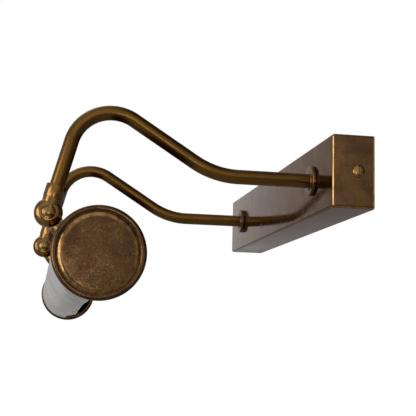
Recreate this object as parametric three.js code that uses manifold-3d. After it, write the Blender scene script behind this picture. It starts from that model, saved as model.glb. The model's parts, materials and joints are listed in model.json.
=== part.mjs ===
// Two-arm picture light for a wall: a long wall box carries two bent tube arms, and the arms carry
// a cylindrical shade on a pair of slotted screw knuckles, so that the shade tilts as one piece.
//
// Units are millimetres. +X runs along the shade, +Y points into the wall and +Z is up. The origin
// is the centre of the face that meets the wall. "right" pieces are on the +X side.

import * as THREE from 'three';
import { mergeVertices } from 'three/addons/utils/BufferGeometryUtils.js';
import { RoundedBoxGeometry } from 'three/addons/geometries/RoundedBoxGeometry.js';
import Module from 'manifold-3d';

const wasm = await Module();
wasm.setup();

// ---------------------------------------------------------------- driving dimensions

const GAP = 0.3;
const SIDES = { right: 1, left: -1 };
const X_AXIS = new THREE.Vector3(1, 0, 0);
const Y_AXIS = new THREE.Vector3(0, 1, 0);
const Z_AXIS = new THREE.Vector3(0, 0, 1);
const OUT_OF_WALL = new THREE.Vector3(0, -1, 0);

const box = { length: 400, depth: 37, height: 62, sheet: 1.5, edgeRadius: 2.4, wallGap: 0.5 };
const endScrew = {
  fromWall: 14.5, headRadius: 5.2, edge: 0.3, slotWidth: 1.8, slotDepth: 0.9,
  shankRadius: 2.5, shankLength: 9,
};
const bracket = { sheet: 2, height: 44, earHeight: 28, earDepth: 26 };
const cableHole = { x: -70, radius: 9 };
const grommet = { lip: 2.5, wall: 3, proud: 0.4 };
const keyhole = { x: 115, headRadius: 5, neckRadius: 2.6, rise: 9 };
const terminal = { length: 38, depth: 13, height: 15, ways: 3, wellRadius: 2.4, wellDepth: 5 };
const earth = { x: 50, z: -12, studRadius: 2, studLength: 13, nutAcross: 7, nutThickness: 3 };

const arm = {
  x: 143, radius: 6.35, bore: 4.9, sides: 16, insideBox: 13, run: 66.7,
  rise: { radius: 74.6, angle: THREE.MathUtils.degToRad(31.9), steps: 4 },
  slope: 61.9,
  crook: { radius: 35.2, angle: THREE.MathUtils.degToRad(107.1), steps: 12 },
  drop: 64.5,
};
const collar = { radius: 13.2, thickness: 3.2, roundOver: 1.1 };
const armWasher = { radius: 10.5, thickness: 1 };
const armNut = { across: 18, thickness: 4.5 };
const lead = { radius: 1.9, sides: 8, steps: 10 };

const knuckle = {
  radius: 12, halfWidth: 8, straightWidth: 4, faceRadius: 8.5, splitGap: 0.6, boreRadius: 2.9,
  clearance: 12.9, webInset: 1.2, edge: 0.5,
};
const ferrule = { radius: 8.9, length: 11, chamfer: 0.8, seat: 3, webRadius: 7.4 };
const neck = {
  radius: 6.9, edge: 0.7, flangeRadius: 10, flangeThickness: 2.6, stemRadius: 4.5, stemLength: 9,
};
const neckNut = { across: 14, thickness: 3.2 };
const pivotScrew = { headRadius: 6, headHeight: 2, shankRadius: 2.5, slotWidth: 2, slotDepth: 1.2 };
const frictionWasher = { radius: 9, thickness: 0.6 };

const shade = {
  fromPivot: { y: 34, z: -45 }, length: 580, radius: 31.5, sheet: 1, opening: THREE.MathUtils.degToRad(90),
  lipRadius: 1.2, arcSteps: 32,
};
const cap = {
  beadRadius: 33, bead: 2.2, discRadius: 28, discEdge: 2.4, discRise: 1.2, grooveDepth: 1.6, sheet: 1.2,
  dish: 3, skirtLength: 8, sides: 28,
};
const reflector = { radius: 29.2, sheet: 0.7, span: THREE.MathUtils.degToRad(236), nutHole: 9.5, endGap: 16 };
const endPlate = { sheet: 1.2, flat: 23, flatTurn: THREE.MathUtils.degToRad(20) };
const lampholder = {
  radius: 12, length: 30, socketRadius: 7.6, socketDepth: 20, footRadius: 13.5, footLength: 4, edge: 1,
};
const lamp = { radius: 12.5, length: 118, capRadius: 6.9, capLength: 19, collar: 2, shoulder: 10 };

// ---------------------------------------------------------------- materials

const finishes = {
  agedBronze: { color: 0x4f3b20, roughness: 0.38, metalness: 1 },
  brushedBronze: { color: 0x74685f, roughness: 0.3, metalness: 1 },
  polishedBrass: { color: 0xa97b33, roughness: 0.25, metalness: 1 },
  zincSteel: { color: 0x9a9a96, roughness: 0.45, metalness: 1 },
  reflectorWhite: { color: 0xd8d4cc, roughness: 0.5, metalness: 0 },
  fibre: { color: 0x5a3a26, roughness: 0.8, metalness: 0 },
  moulding: { color: 0xe6e2d8, roughness: 0.5, metalness: 0 },
  blackMoulding: { color: 0x1a1918, roughness: 0.5, metalness: 0 },
  rubber: { color: 0x171717, roughness: 0.9, metalness: 0 },
  wire: { color: 0xb9a060, roughness: 0.6, metalness: 0 },
  lampGlass: { color: 0xf4f0e6, roughness: 0.3, metalness: 0 },
};

// ---------------------------------------------------------------- solids

// A closed three.js geometry as a manifold solid: equal corners are joined and flat slivers dropped.
function solid(geometry) {
  const bare = geometry.clone();
  bare.deleteAttribute('normal');
  bare.deleteAttribute('uv');
  const joined = mergeVertices(bare, 1e-4);
  const corners = joined.index.array;
  const kept = [];
  for (let i = 0; i < corners.length; i += 3) {
    const [a, b, c] = corners.slice(i, i + 3);
    if (a !== b && b !== c && c !== a) {
      kept.push(a, b, c);
    }
  }
  return new wasm.Manifold(new wasm.Mesh({
    numProp: 3,
    vertProperties: new Float32Array(joined.attributes.position.array),
    triVerts: new Uint32Array(kept),
  }));
}

function joinAll(solids) {
  return solids.reduce((whole, next) => whole.add(next));
}

function cutAll(body, tools) {
  return tools.reduce((rest, tool) => rest.subtract(tool), body);
}

function piece(parent, name, body, finish) {
  const mesh = body.getMesh();
  const geometry = new THREE.BufferGeometry();
  geometry.setAttribute('position', new THREE.BufferAttribute(mesh.vertProperties, 3));
  geometry.setIndex(new THREE.BufferAttribute(mesh.triVerts, 1));
  geometry.computeVertexNormals();
  const part = new THREE.Mesh(geometry, new THREE.MeshStandardMaterial(finishes[finish]));
  part.name = name;
  parent.add(part);
}

// A block between two opposite corners.
function block(low, high) {
  const size = high.map((value, i) => value - low[i]);
  const middle = high.map((value, i) => (value + low[i]) / 2);
  return solid(new THREE.BoxGeometry(...size).translate(...middle));
}

// Turns a geometry made about +Y so that it stands at "from" and points along "direction".
function stand(geometry, from, direction) {
  const turn = new THREE.Quaternion().setFromUnitVectors(Y_AXIS, direction.clone().normalize());
  return solid(geometry.applyQuaternion(turn).translate(from.x, from.y, from.z));
}

function rod(radius, from, to, sides = 20) {
  const along = to.clone().sub(from);
  const length = along.length();
  const upright = new THREE.CylinderGeometry(radius, radius, length, sides).translate(0, length / 2, 0);
  return stand(upright, from, along);
}

// A turned piece: profile points are [radius, distance along the axis], from the foot to the tip.
function turned(profile, from, direction, sides = 20) {
  const points = profile.map(([radius, along]) => new THREE.Vector2(radius, along));
  return stand(new THREE.LatheGeometry(points, sides), from, direction);
}

// A ring or washer as a closed loop, so that its bore is open.
function ring(outer, bore, thickness, from, direction) {
  return turned([[bore, 0], [outer, 0], [outer, thickness], [bore, thickness], [bore, 0]], from, direction);
}

function hexNut(across, bore, thickness, from, direction) {
  const corner = across / Math.sqrt(3);
  const body = turned([[0, 0], [corner, 0], [corner, thickness], [0, thickness]], from, direction, 6);
  return body.subtract(boreThrough(bore, thickness, from, direction));
}

function boreThrough(radius, length, from, direction) {
  const unit = direction.clone().normalize();
  const start = from.clone().addScaledVector(unit, -1);
  return rod(radius, start, start.clone().addScaledVector(unit, length + 2), 16);
}

function point(x, y, z) {
  return new THREE.Vector3(x, y, z);
}

function alongX(sign) {
  return X_AXIS.clone().multiplyScalar(sign);
}

// A rod parallel to the shade that reaches equally far to both sides of its centre.
function alongShade(radius, centre, reach, sides) {
  return rod(radius, centre.clone().add(point(-reach, 0, 0)), centre.clone().add(point(reach, 0, 0)), sides);
}

// ---------------------------------------------------------------- the arm's route

// Straight stretches and round bends in the YZ plane, with one station at each end of a straight and
// at every step of a bend. The heading is measured upward from -Y, which is straight out of the wall.
class BentRoute extends THREE.Curve {
  constructor(x, startY) {
    super();
    this.x = x;
    this.stations = [{ y: startY, z: 0, heading: 0 }];
  }

  get last() {
    return this.stations[this.stations.length - 1];
  }

  straight(length) {
    const { y, z, heading } = this.last;
    this.stations.push({ y: y - length * Math.cos(heading), z: z + length * Math.sin(heading), heading });
    return this;
  }

  bend(radius, angle, steps) {
    const { y, z, heading } = this.last;
    const turnSign = Math.sign(angle);
    for (let i = 1; i <= steps; i += 1) {
      const next = heading + (angle * i) / steps;
      this.stations.push({
        y: y + turnSign * radius * (Math.sin(heading) - Math.sin(next)),
        z: z + turnSign * radius * (Math.cos(heading) - Math.cos(next)),
        heading: next,
      });
    }
    return this;
  }

  at(t) {
    return this.stations[Math.round(t * (this.stations.length - 1))];
  }

  getPointAt(t, target = new THREE.Vector3()) {
    const { y, z } = this.at(t);
    return target.set(this.x, y, z);
  }

  getTangentAt(t, target = new THREE.Vector3()) {
    const { heading } = this.at(t);
    return target.set(0, -Math.cos(heading), Math.sin(heading));
  }
}

// The route stops "short" of the pivot, so the same route gives the pivot and the tube's end.
function armRoute(x, short) {
  return new BentRoute(x, -box.depth + arm.insideBox)
    .straight(arm.insideBox + arm.run)
    .bend(arm.rise.radius, arm.rise.angle, arm.rise.steps)
    .straight(arm.slope)
    .bend(arm.crook.radius, -arm.crook.angle, arm.crook.steps)
    .straight(arm.drop - short);
}

function pivotAt(x) {
  return armRoute(x, 0).getPointAt(1);
}

const pivot = pivotAt(0);
const shadeAxis = point(0, pivot.y + shade.fromPivot.y, pivot.z + shade.fromPivot.z);
const stemLength = Math.hypot(shade.fromPivot.y, shade.fromPivot.z);
const stemDirection = point(0, shade.fromPivot.y, shade.fromPivot.z).normalize();
const armDirection = armRoute(0, 0).getTangentAt(1).negate();
const openingAngle = Math.atan2(shade.fromPivot.z, shade.fromPivot.y);

function axisPoint(x) {
  return point(x, shadeAxis.y, shadeAxis.z);
}

// ---------------------------------------------------------------- wall box

function boxCover() {
  const { length, depth, height, sheet, edgeRadius, wallGap } = box;
  const rounded = solid(new RoundedBoxGeometry(length, 2 * depth, height, 3, edgeRadius));
  const front = block([-length, -2 * depth, -height], [length, -wallGap, height]);
  const hollow = block(
    [sheet - length / 2, sheet - depth, sheet - height / 2],
    [length / 2 - sheet, depth, height / 2 - sheet],
  );
  const tools = [hollow];
  for (const side of Object.values(SIDES)) {
    tools.push(boreThrough(arm.radius + GAP, 2 * sheet, point(side * arm.x, -depth, 0), Y_AXIS));
    const screwHole = point(side * (length / 2 - sheet), -endScrew.fromWall, 0);
    tools.push(boreThrough(endScrew.headRadius + GAP, sheet, screwHole, alongX(side)));
  }
  return cutAll(rounded.intersect(front), tools);
}

const earOuter = box.length / 2 - box.sheet - GAP;

function wallBracket() {
  const { sheet, height, earHeight, earDepth } = bracket;
  const plate = block([-earOuter, -sheet, -height / 2], [earOuter, 0, height / 2]);
  const ears = [];
  const holes = [boreThrough(cableHole.radius, sheet, point(cableHole.x, -sheet, 0), Y_AXIS)];
  for (const side of Object.values(SIDES)) {
    const near = side * earOuter;
    const far = side * (earOuter - sheet);
    ears.push(block(
      [Math.min(near, far), -earDepth, -earHeight / 2],
      [Math.max(near, far), 0, earHeight / 2],
    ));
    const ear = point(side * (earOuter - sheet), -endScrew.fromWall, 0);
    holes.push(boreThrough(endScrew.shankRadius + GAP, sheet, ear, alongX(side)));
    const headHole = point(side * keyhole.x, -sheet, 0);
    holes.push(boreThrough(keyhole.headRadius, sheet, headHole, Y_AXIS));
    const neckHole = headHole.clone().add(point(0, 0, keyhole.rise));
    holes.push(boreThrough(keyhole.neckRadius, sheet, neckHole, Y_AXIS));
    holes.push(block(
      [headHole.x - keyhole.neckRadius, -2 * sheet, 0],
      [headHole.x + keyhole.neckRadius, sheet, keyhole.rise],
    ));
  }
  holes.push(boreThrough(earth.studRadius + GAP, sheet, point(earth.x, -sheet, earth.z), Y_AXIS));
  return cutAll(joinAll([plate, ...ears]), holes);
}

// A flat slotted head that lies flush in the cover's end, and a shank through the bracket's ear.
function boxEndScrew(side) {
  const face = point(side * box.length / 2, -endScrew.fromWall, 0);
  const seat = box.sheet;
  const profile = [
    [0, -seat - endScrew.shankLength],
    [endScrew.shankRadius, -seat - endScrew.shankLength],
    [endScrew.shankRadius, -seat],
    [endScrew.headRadius, -seat],
    [endScrew.headRadius, -endScrew.edge],
    [endScrew.headRadius - endScrew.edge, 0],
    [0, 0],
  ];
  const slot = block(
    [face.x - endScrew.slotDepth, face.y - endScrew.slotWidth / 2, -2 * endScrew.headRadius],
    [face.x + endScrew.slotDepth, face.y + endScrew.slotWidth / 2, 2 * endScrew.headRadius],
  );
  return turned(profile, face, alongX(side)).subtract(slot);
}

function terminalBlock() {
  const { length, depth, height, ways, wellRadius, wellDepth } = terminal;
  const backY = -bracket.sheet - GAP;
  const body = block([-length / 2, backY - depth, -height / 2], [length / 2, backY, height / 2]);
  const pitch = length / ways;
  const screwWells = [];
  for (let i = 0; i < ways; i += 1) {
    const x = (i - (ways - 1) / 2) * pitch;
    const mouth = point(x, backY - depth - 1, 0);
    screwWells.push(rod(wellRadius, mouth, point(x, backY - depth + wellDepth, 0), 12));
  }
  return cutAll(body, screwWells);
}

function cableGrommet() {
  const { lip, wall, proud } = grommet;
  const seat = cableHole.radius - GAP;
  const outer = cableHole.radius + lip;
  const bore = cableHole.radius - wall;
  const lipFoot = bracket.sheet + GAP;
  const lipTop = lipFoot + lip;
  const profile = [
    [bore, proud], [seat, proud], [seat, lipFoot], [outer, lipFoot], [outer, lipTop], [bore, lipTop],
    [bore, proud],
  ];
  return turned(profile, point(cableHole.x, 0, 0), OUT_OF_WALL);
}

function buildWallBox(group) {
  piece(group, 'wall_box_cover', boxCover(), 'brushedBronze');
  piece(group, 'wall_bracket', wallBracket(), 'zincSteel');
  piece(group, 'terminal_block', terminalBlock(), 'moulding');
  piece(group, 'cable_grommet', cableGrommet(), 'rubber');
  const { x, z, studRadius, studLength, nutAcross, nutThickness } = earth;
  const stud = rod(studRadius, point(x, -GAP, z), point(x, -GAP - studLength, z), 16);
  piece(group, 'earth_stud', stud, 'polishedBrass');
  const nutFoot = point(x, -bracket.sheet - GAP, z);
  const nut = hexNut(nutAcross, studRadius + GAP, nutThickness, nutFoot, OUT_OF_WALL);
  piece(group, 'earth_nut', nut, 'polishedBrass');
  for (const [name, side] of Object.entries(SIDES)) {
    piece(group, `end_screw_${name}`, boxEndScrew(side), 'agedBronze');
  }
}

// ---------------------------------------------------------------- arms

function armTube(route) {
  const section = new THREE.Shape().absarc(0, 0, arm.radius, 0, 2 * Math.PI);
  section.holes.push(new THREE.Path().absarc(0, 0, arm.bore, 0, 2 * Math.PI, true));
  return solid(new THREE.ExtrudeGeometry(section, {
    steps: route.stations.length - 1, extrudePath: route, curveSegments: arm.sides / 2,
  }));
}

// A turned flange with a rounded front edge, seated on the box's front face.
function armCollar(x) {
  const { radius, thickness, roundOver } = collar;
  const bore = arm.radius + GAP;
  const profile = [[bore, 0], [radius, 0]];
  for (let i = 0; i <= 2; i += 1) {
    const angle = (i / 2) * (Math.PI / 2);
    profile.push([
      radius - roundOver * (1 - Math.cos(angle)),
      thickness - roundOver * (1 - Math.sin(angle)),
    ]);
  }
  profile.push([bore, thickness], [bore, 0]);
  return turned(profile, point(x, -box.depth - GAP, 0), OUT_OF_WALL);
}

function leadCurve(side) {
  const clearOfPlate = -bracket.sheet - terminal.depth / 2;
  return new THREE.CatmullRomCurve3([
    point(side * (terminal.length / 2 + 1), clearOfPlate, 0),
    point(side * (arm.x - 60), clearOfPlate, 0),
    point(side * (arm.x - 22), clearOfPlate, 0),
    point(side * (arm.x - 4), clearOfPlate - 4, 0),
    point(side * arm.x, clearOfPlate - 12, 0),
    point(side * arm.x, clearOfPlate - 24, 0),
  ]);
}

function wiringLead(side) {
  const section = new THREE.Shape().absarc(0, 0, lead.radius, 0, 2 * Math.PI);
  return solid(new THREE.ExtrudeGeometry(section, {
    steps: lead.steps, extrudePath: leadCurve(side), curveSegments: lead.sides / 2,
  }));
}

function buildArm(group, name, side) {
  const x = side * arm.x;
  const route = armRoute(x, knuckle.clearance + ferrule.seat + GAP);
  piece(group, `arm_tube_${name}`, armTube(route), 'agedBronze');
  piece(group, `arm_collar_${name}`, armCollar(x), 'agedBronze');
  const insideFace = -box.depth + box.sheet + GAP;
  const bore = arm.radius + GAP;
  const washer = ring(armWasher.radius, bore, armWasher.thickness, point(x, insideFace, 0), Y_AXIS);
  piece(group, `arm_washer_${name}`, washer, 'zincSteel');
  const nutFoot = point(x, insideFace + armWasher.thickness + GAP, 0);
  const nut = hexNut(armNut.across, bore, armNut.thickness, nutFoot, Y_AXIS);
  piece(group, `arm_nut_${name}`, nut, 'polishedBrass');
  piece(group, `wiring_lead_${name}`, wiringLead(side), 'wire');
}

// ---------------------------------------------------------------- knuckles

// Half of the knuckle's flattened ball, from the split face outward along +X or -X.
function knuckleLug(centre, sign) {
  const { radius, halfWidth, straightWidth, faceRadius, splitGap, edge } = knuckle;
  const profile = [[0, splitGap], [radius - edge, splitGap], [radius, splitGap + edge]];
  for (let i = 0; i <= 3; i += 1) {
    const angle = (i / 3) * (Math.PI / 2);
    profile.push([
      faceRadius + (radius - faceRadius) * Math.cos(angle),
      straightWidth + (halfWidth - straightWidth) * Math.sin(angle),
    ]);
  }
  profile.push([0, halfWidth]);
  return turned(profile, centre, alongX(sign), 24);
}

// The web that joins a lug to its stem, kept to the lug's own side of the split.
function knuckleWeb(centre, sign, direction, radius) {
  const top = centre.clone().addScaledVector(direction, knuckle.clearance + knuckle.edge);
  const post = rod(radius, centre, top, 16);
  const near = sign * knuckle.splitGap;
  const far = sign * (knuckle.halfWidth - knuckle.webInset);
  const reach = 3 * knuckle.radius;
  return post.intersect(block(
    [centre.x + Math.min(near, far), centre.y - reach, centre.z - reach],
    [centre.x + Math.max(near, far), centre.y + reach, centre.z + reach],
  ));
}

function pivotBore(centre) {
  return alongShade(knuckle.boreRadius, centre, 2 * knuckle.radius, 12);
}

// The arm's half: a lug on the +X side, and a ferrule that the tube's end is fixed in.
function armKnuckle(centre) {
  const { radius, length, chamfer, seat, webRadius } = ferrule;
  const bottom = knuckle.clearance;
  const top = bottom + length;
  const bore = arm.radius + GAP;
  const profile = [
    [0, bottom], [radius - chamfer, bottom], [radius, bottom + chamfer],
    [radius, top - chamfer], [radius - chamfer, top],
    [bore, top], [bore, bottom + seat], [0, bottom + seat],
  ];
  const body = joinAll([
    knuckleLug(centre, 1),
    knuckleWeb(centre, 1, armDirection, webRadius),
    turned(profile, centre, armDirection),
  ]);
  return body.subtract(pivotBore(centre));
}

// The shade's half: a lug on the -X side, a neck, a flange that fits the shade's curve and a stem.
function shadeKnuckle(centre) {
  const shadeSurface = stemLength - shade.radius;
  const start = shadeSurface - neck.flangeThickness;
  const end = shadeSurface + shade.sheet + neck.stemLength;
  const insideShade = shadeSurface + neck.flangeThickness;
  const neckAndFlange = turned([
    [0, knuckle.clearance],
    [neck.radius - neck.edge, knuckle.clearance],
    [neck.radius, knuckle.clearance + neck.edge],
    [neck.radius, start - neck.edge],
    [neck.flangeRadius - neck.edge, start],
    [neck.flangeRadius, start + neck.edge],
    [neck.flangeRadius, insideShade],
    [0, insideShade],
  ], centre, stemDirection);
  const shadeBody = alongShade(shade.radius + GAP, axisPoint(centre.x), 2 * neck.flangeRadius, 48);
  const foot = centre.clone().addScaledVector(stemDirection, start);
  const tip = centre.clone().addScaledVector(stemDirection, end);
  const body = joinAll([
    knuckleLug(centre, -1),
    knuckleWeb(centre, -1, stemDirection, neck.radius),
    neckAndFlange.subtract(shadeBody),
    rod(neck.stemRadius, foot, tip, 16),
  ]);
  return body.subtract(pivotBore(centre));
}

// A domed slotted head on the arm's lug, and a shank through both lugs.
function knuckleScrew(centre) {
  const { headRadius, headHeight, shankRadius, slotWidth, slotDepth } = pivotScrew;
  const face = knuckle.halfWidth + GAP;
  const profile = [
    [0, -knuckle.halfWidth + 1],
    [shankRadius, -knuckle.halfWidth + 1],
    [shankRadius, face],
    [headRadius, face],
    [headRadius, face + 0.6 * headHeight],
    [headRadius * 0.8, face + 0.9 * headHeight],
    [0, face + headHeight],
  ];
  const top = centre.x + face + headHeight;
  const slot = block(
    [top - slotDepth, centre.y - slotWidth / 2, centre.z - 2 * headRadius],
    [top + slotDepth, centre.y + slotWidth / 2, centre.z + 2 * headRadius],
  );
  return turned(profile, centre, X_AXIS).subtract(slot);
}

// The nut's corners touch the inside of the shade's curve first, so they set how deep it sits.
function neckLockNut(centre) {
  const corner = neckNut.across / Math.sqrt(3);
  const touching = stemLength - Math.sqrt((shade.radius - shade.sheet) ** 2 - corner ** 2);
  const foot = centre.clone().addScaledVector(stemDirection, touching + GAP);
  return hexNut(neckNut.across, neck.stemRadius + GAP, neckNut.thickness, foot, stemDirection);
}

function buildKnuckle(armGroup, shadeGroup, name, side) {
  const centre = pivotAt(side * arm.x);
  piece(armGroup, `arm_knuckle_${name}`, armKnuckle(centre), 'polishedBrass');
  piece(armGroup, `knuckle_screw_${name}`, knuckleScrew(centre), 'polishedBrass');
  const { radius, thickness } = frictionWasher;
  const washerFoot = centre.clone().add(point(-thickness / 2, 0, 0));
  const washer = ring(radius, knuckle.boreRadius, thickness, washerFoot, X_AXIS);
  piece(armGroup, `friction_washer_${name}`, washer, 'fibre');
  piece(shadeGroup, `shade_knuckle_${name}`, shadeKnuckle(centre), 'polishedBrass');
  piece(shadeGroup, `neck_nut_${name}`, neckLockNut(centre), 'polishedBrass');
}

// ---------------------------------------------------------------- shade

// An arc-shaped sheet as a section in the YZ plane, run along X. Angles are measured from +Y to +Z.
function curvedSheet(outer, sheet, fromAngle, toAngle, length, steps) {
  const section = new THREE.Shape()
    .absarc(0, 0, outer, fromAngle, toAngle)
    .absarc(0, 0, outer - sheet, toAngle, fromAngle, true);
  const extrusion = { depth: length, bevelEnabled: false, curveSegments: steps };
  const flat = new THREE.ExtrudeGeometry(section, extrusion);
  const yzPlane = new THREE.Matrix4().makeBasis(Y_AXIS, Z_AXIS, X_AXIS);
  return solid(flat.applyMatrix4(yzPlane).translate(-length / 2, shadeAxis.y, shadeAxis.z));
}

function stemHoles(radius) {
  return Object.values(SIDES).map((side) => {
    const centre = pivotAt(side * arm.x);
    const to = centre.clone().addScaledVector(stemDirection, stemLength);
    return rod(radius, centre, to, 16);
  });
}

const tubeLength = shade.length - 2 * (2 * cap.bead + GAP);

// The shade's sheet is open along one side, and both long edges are rolled into a round lip that
// stops short of the end caps' skirts.
function shadeTube() {
  const from = openingAngle + shade.opening / 2;
  const to = openingAngle - shade.opening / 2 + 2 * Math.PI;
  const sheet = curvedSheet(shade.radius, shade.sheet, from, to, tubeLength, shade.arcSteps);
  const lipEnd = shade.length / 2 - 2 * cap.bead - cap.skirtLength - GAP;
  const lips = [from, to].map((angle) => {
    const reach = shade.radius - shade.lipRadius;
    const y = shadeAxis.y + reach * Math.cos(angle);
    const z = shadeAxis.z + reach * Math.sin(angle);
    return rod(shade.lipRadius, point(-lipEnd, y, z), point(lipEnd, y, z), 8);
  });
  return cutAll(joinAll([sheet, ...lips]), stemHoles(neck.stemRadius + GAP));
}

// A spun cup: a raised round-edged disc, a groove, a half-round bead and a skirt inside the shade.
function endCap(side) {
  const { beadRadius, bead, discRadius, discEdge, discRise, grooveDepth } = cap;
  const { sheet, dish, skirtLength, sides } = cap;
  const skirt = shade.radius - shade.sheet - GAP;
  const skirtEnd = -2 * bead - skirtLength;
  const beadMiddle = beadRadius - bead;
  const profile = [[0, -sheet], [skirt - sheet, -sheet - dish], [skirt - sheet, skirtEnd], [skirt, skirtEnd],
    [skirt, -2 * bead]];
  for (let i = 0; i <= 5; i += 1) {
    const angle = (i / 5) * Math.PI - Math.PI / 2;
    profile.push([beadMiddle + bead * Math.cos(angle), -bead + bead * Math.sin(angle)]);
  }
  profile.push([discRadius, -grooveDepth]);
  for (let i = 0; i <= 3; i += 1) {
    const angle = (i / 3) * (Math.PI / 2);
    profile.push([discRadius - discEdge * (1 - Math.cos(angle)), -discRise * (1 - Math.sin(angle))]);
  }
  profile.push([0, 0]);
  return turned(profile, axisPoint(side * shade.length / 2), alongX(side), sides);
}

const reflectorLength = shade.length - 2 * reflector.endGap;
const holderFoot = reflectorLength / 2 - endPlate.sheet - GAP;

function reflectorTrough() {
  const middle = openingAngle + Math.PI;
  const from = middle - reflector.span / 2;
  const to = from + reflector.span;
  const trough = curvedSheet(reflector.radius, reflector.sheet, from, to, reflectorLength, 24);
  return cutAll(trough, stemHoles(reflector.nutHole));
}

// A round plate across the trough's end, flat on the side that faces the opening.
function reflectorEnd(side) {
  const radius = reflector.radius - reflector.sheet - GAP;
  const inner = side * (reflectorLength / 2 - endPlate.sheet);
  const outer = side * (reflectorLength / 2);
  const plate = rod(radius, axisPoint(Math.min(inner, outer)), axisPoint(Math.max(inner, outer)), 32);
  const flatAway = new THREE.BoxGeometry(4 * endPlate.sheet, radius, 4 * radius)
    .translate(0, endPlate.flat + radius / 2, 0)
    .rotateX(openingAngle + endPlate.flatTurn)
    .translate(inner, shadeAxis.y, shadeAxis.z);
  return plate.subtract(solid(flatAway));
}

function lampHolder(side) {
  const { radius, length, socketRadius, socketDepth, footRadius, footLength, edge } = lampholder;
  const profile = [
    [0, 0], [footRadius, 0], [footRadius, footLength], [radius, footLength + edge],
    [radius, length - edge], [radius - edge, length],
    [socketRadius, length], [socketRadius, length - socketDepth], [0, length - socketDepth],
  ];
  return turned(profile, axisPoint(side * holderFoot), alongX(-side));
}

// A tubular lamp: a cap that goes into the socket and a straight glass with a domed end.
function tubularLamp(side) {
  const { radius, length, capRadius, capLength, collar: capCollar, shoulder } = lamp;
  const profile = [[0, -capLength], [capRadius, 1 - capLength], [capRadius, capCollar], [radius, shoulder]];
  for (let i = 0; i <= 4; i += 1) {
    const angle = (i / 4) * (Math.PI / 2);
    profile.push([radius * Math.cos(angle), length - radius + radius * Math.sin(angle)]);
  }
  return turned(profile, axisPoint(side * (holderFoot - lampholder.length)), alongX(-side));
}

function buildShade(group) {
  piece(group, 'shade_tube', shadeTube(), 'agedBronze');
  piece(group, 'reflector', reflectorTrough(), 'reflectorWhite');
  for (const [name, side] of Object.entries(SIDES)) {
    piece(group, `end_cap_${name}`, endCap(side), 'agedBronze');
    piece(group, `reflector_end_${name}`, reflectorEnd(side), 'zincSteel');
    piece(group, `lampholder_${name}`, lampHolder(side), 'blackMoulding');
    piece(group, `lamp_${name}`, tubularLamp(side), 'lampGlass');
  }
}

// ---------------------------------------------------------------- assembly

const fixedGroup = new THREE.Group();
const shadeGroup = new THREE.Group();
buildWallBox(fixedGroup);
for (const [name, side] of Object.entries(SIDES)) {
  buildArm(fixedGroup, name, side);
  buildKnuckle(fixedGroup, shadeGroup, name, side);
}
buildShade(shadeGroup);

const group = new THREE.Group();
group.add(fixedGroup, shadeGroup);

export default group;
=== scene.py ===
import json
import math

import bmesh
import bpy
from mathutils import Matrix, Vector


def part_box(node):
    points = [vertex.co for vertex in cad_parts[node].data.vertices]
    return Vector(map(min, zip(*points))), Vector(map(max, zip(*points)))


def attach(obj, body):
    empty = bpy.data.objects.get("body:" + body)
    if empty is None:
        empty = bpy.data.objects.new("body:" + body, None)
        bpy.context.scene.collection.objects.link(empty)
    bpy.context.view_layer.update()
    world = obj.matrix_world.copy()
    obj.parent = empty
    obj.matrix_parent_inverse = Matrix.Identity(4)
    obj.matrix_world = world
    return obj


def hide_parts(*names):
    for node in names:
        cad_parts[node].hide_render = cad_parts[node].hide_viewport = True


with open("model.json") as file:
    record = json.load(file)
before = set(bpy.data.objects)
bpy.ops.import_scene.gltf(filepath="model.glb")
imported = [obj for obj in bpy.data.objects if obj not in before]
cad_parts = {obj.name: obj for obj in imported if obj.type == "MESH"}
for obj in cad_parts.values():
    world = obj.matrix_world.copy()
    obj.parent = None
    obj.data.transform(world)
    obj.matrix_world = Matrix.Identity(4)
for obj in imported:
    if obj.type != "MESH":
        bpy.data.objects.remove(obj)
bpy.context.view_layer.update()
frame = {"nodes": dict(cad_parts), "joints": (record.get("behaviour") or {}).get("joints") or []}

# ------------------------------------------------------------------------------------------------
# The room: a pale studio floor far below the light, a bright plain surround, and a camera close to
# the shade's right end that looks along the shade and a little up.

scene = bpy.context.scene
scene.view_settings.view_transform = "Standard"

camera_data = bpy.data.cameras.new("camera")
camera_data.sensor_width = 36
camera_data.lens = 82
camera = bpy.data.objects.new("camera", camera_data)
scene.collection.objects.link(camera)
scene.camera = camera
camera_place = Vector((0.9357, -0.2732, -0.1456))
camera_target = Vector((0, -0.1040, -0.0073))
camera_roll = math.radians(1.4)


def aimed(place, target, roll=0):
    """The transform of a camera or lamp that stands at place and looks at target."""
    turn = (Vector(target) - Vector(place)).to_track_quat("-Z", "Y").to_matrix().to_4x4()
    return Matrix.Translation(place) @ turn @ Matrix.Rotation(roll, 4, "Z")


camera.matrix_world = aimed(camera_place, camera_target, camera_roll)

floor_depth = 0.75
floor_reach = 12
floor_shape = bmesh.new()
bmesh.ops.create_grid(floor_shape, x_segments=1, y_segments=1, size=floor_reach)
bmesh.ops.translate(floor_shape, verts=floor_shape.verts, vec=(0, 0, -floor_depth))
floor_mesh = bpy.data.meshes.new("floor")
floor_shape.to_mesh(floor_mesh)
floor_shape.free()
floor = bpy.data.objects.new("floor", floor_mesh)
scene.collection.objects.link(floor)

# The floor is a pale paper sweep that can't be seen from below. The surround is white where it is
# seen; what the metal mirrors is greyer, and darker low down, as in a room that is lit from above.


def add_node(tree, kind, **settings):
    """Adds a shader node; settings are its own properties, such as operation."""
    node = tree.nodes.new(kind)
    for label, value in settings.items():
        setattr(node, label, value)
    return node


def feed(tree, socket, value):
    """Links a socket to another node's output, or sets its number or colour."""
    if isinstance(value, bpy.types.NodeSocket):
        tree.links.new(value, socket)
    else:
        socket.default_value = value


def calculate(tree, operation, *values, clamp=False):
    """One Math node on its values."""
    node = add_node(tree, "ShaderNodeMath", operation=operation, use_clamp=clamp)
    for socket, value in zip(node.inputs, values):
        feed(tree, socket, value)
    return node.outputs[0]


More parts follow.
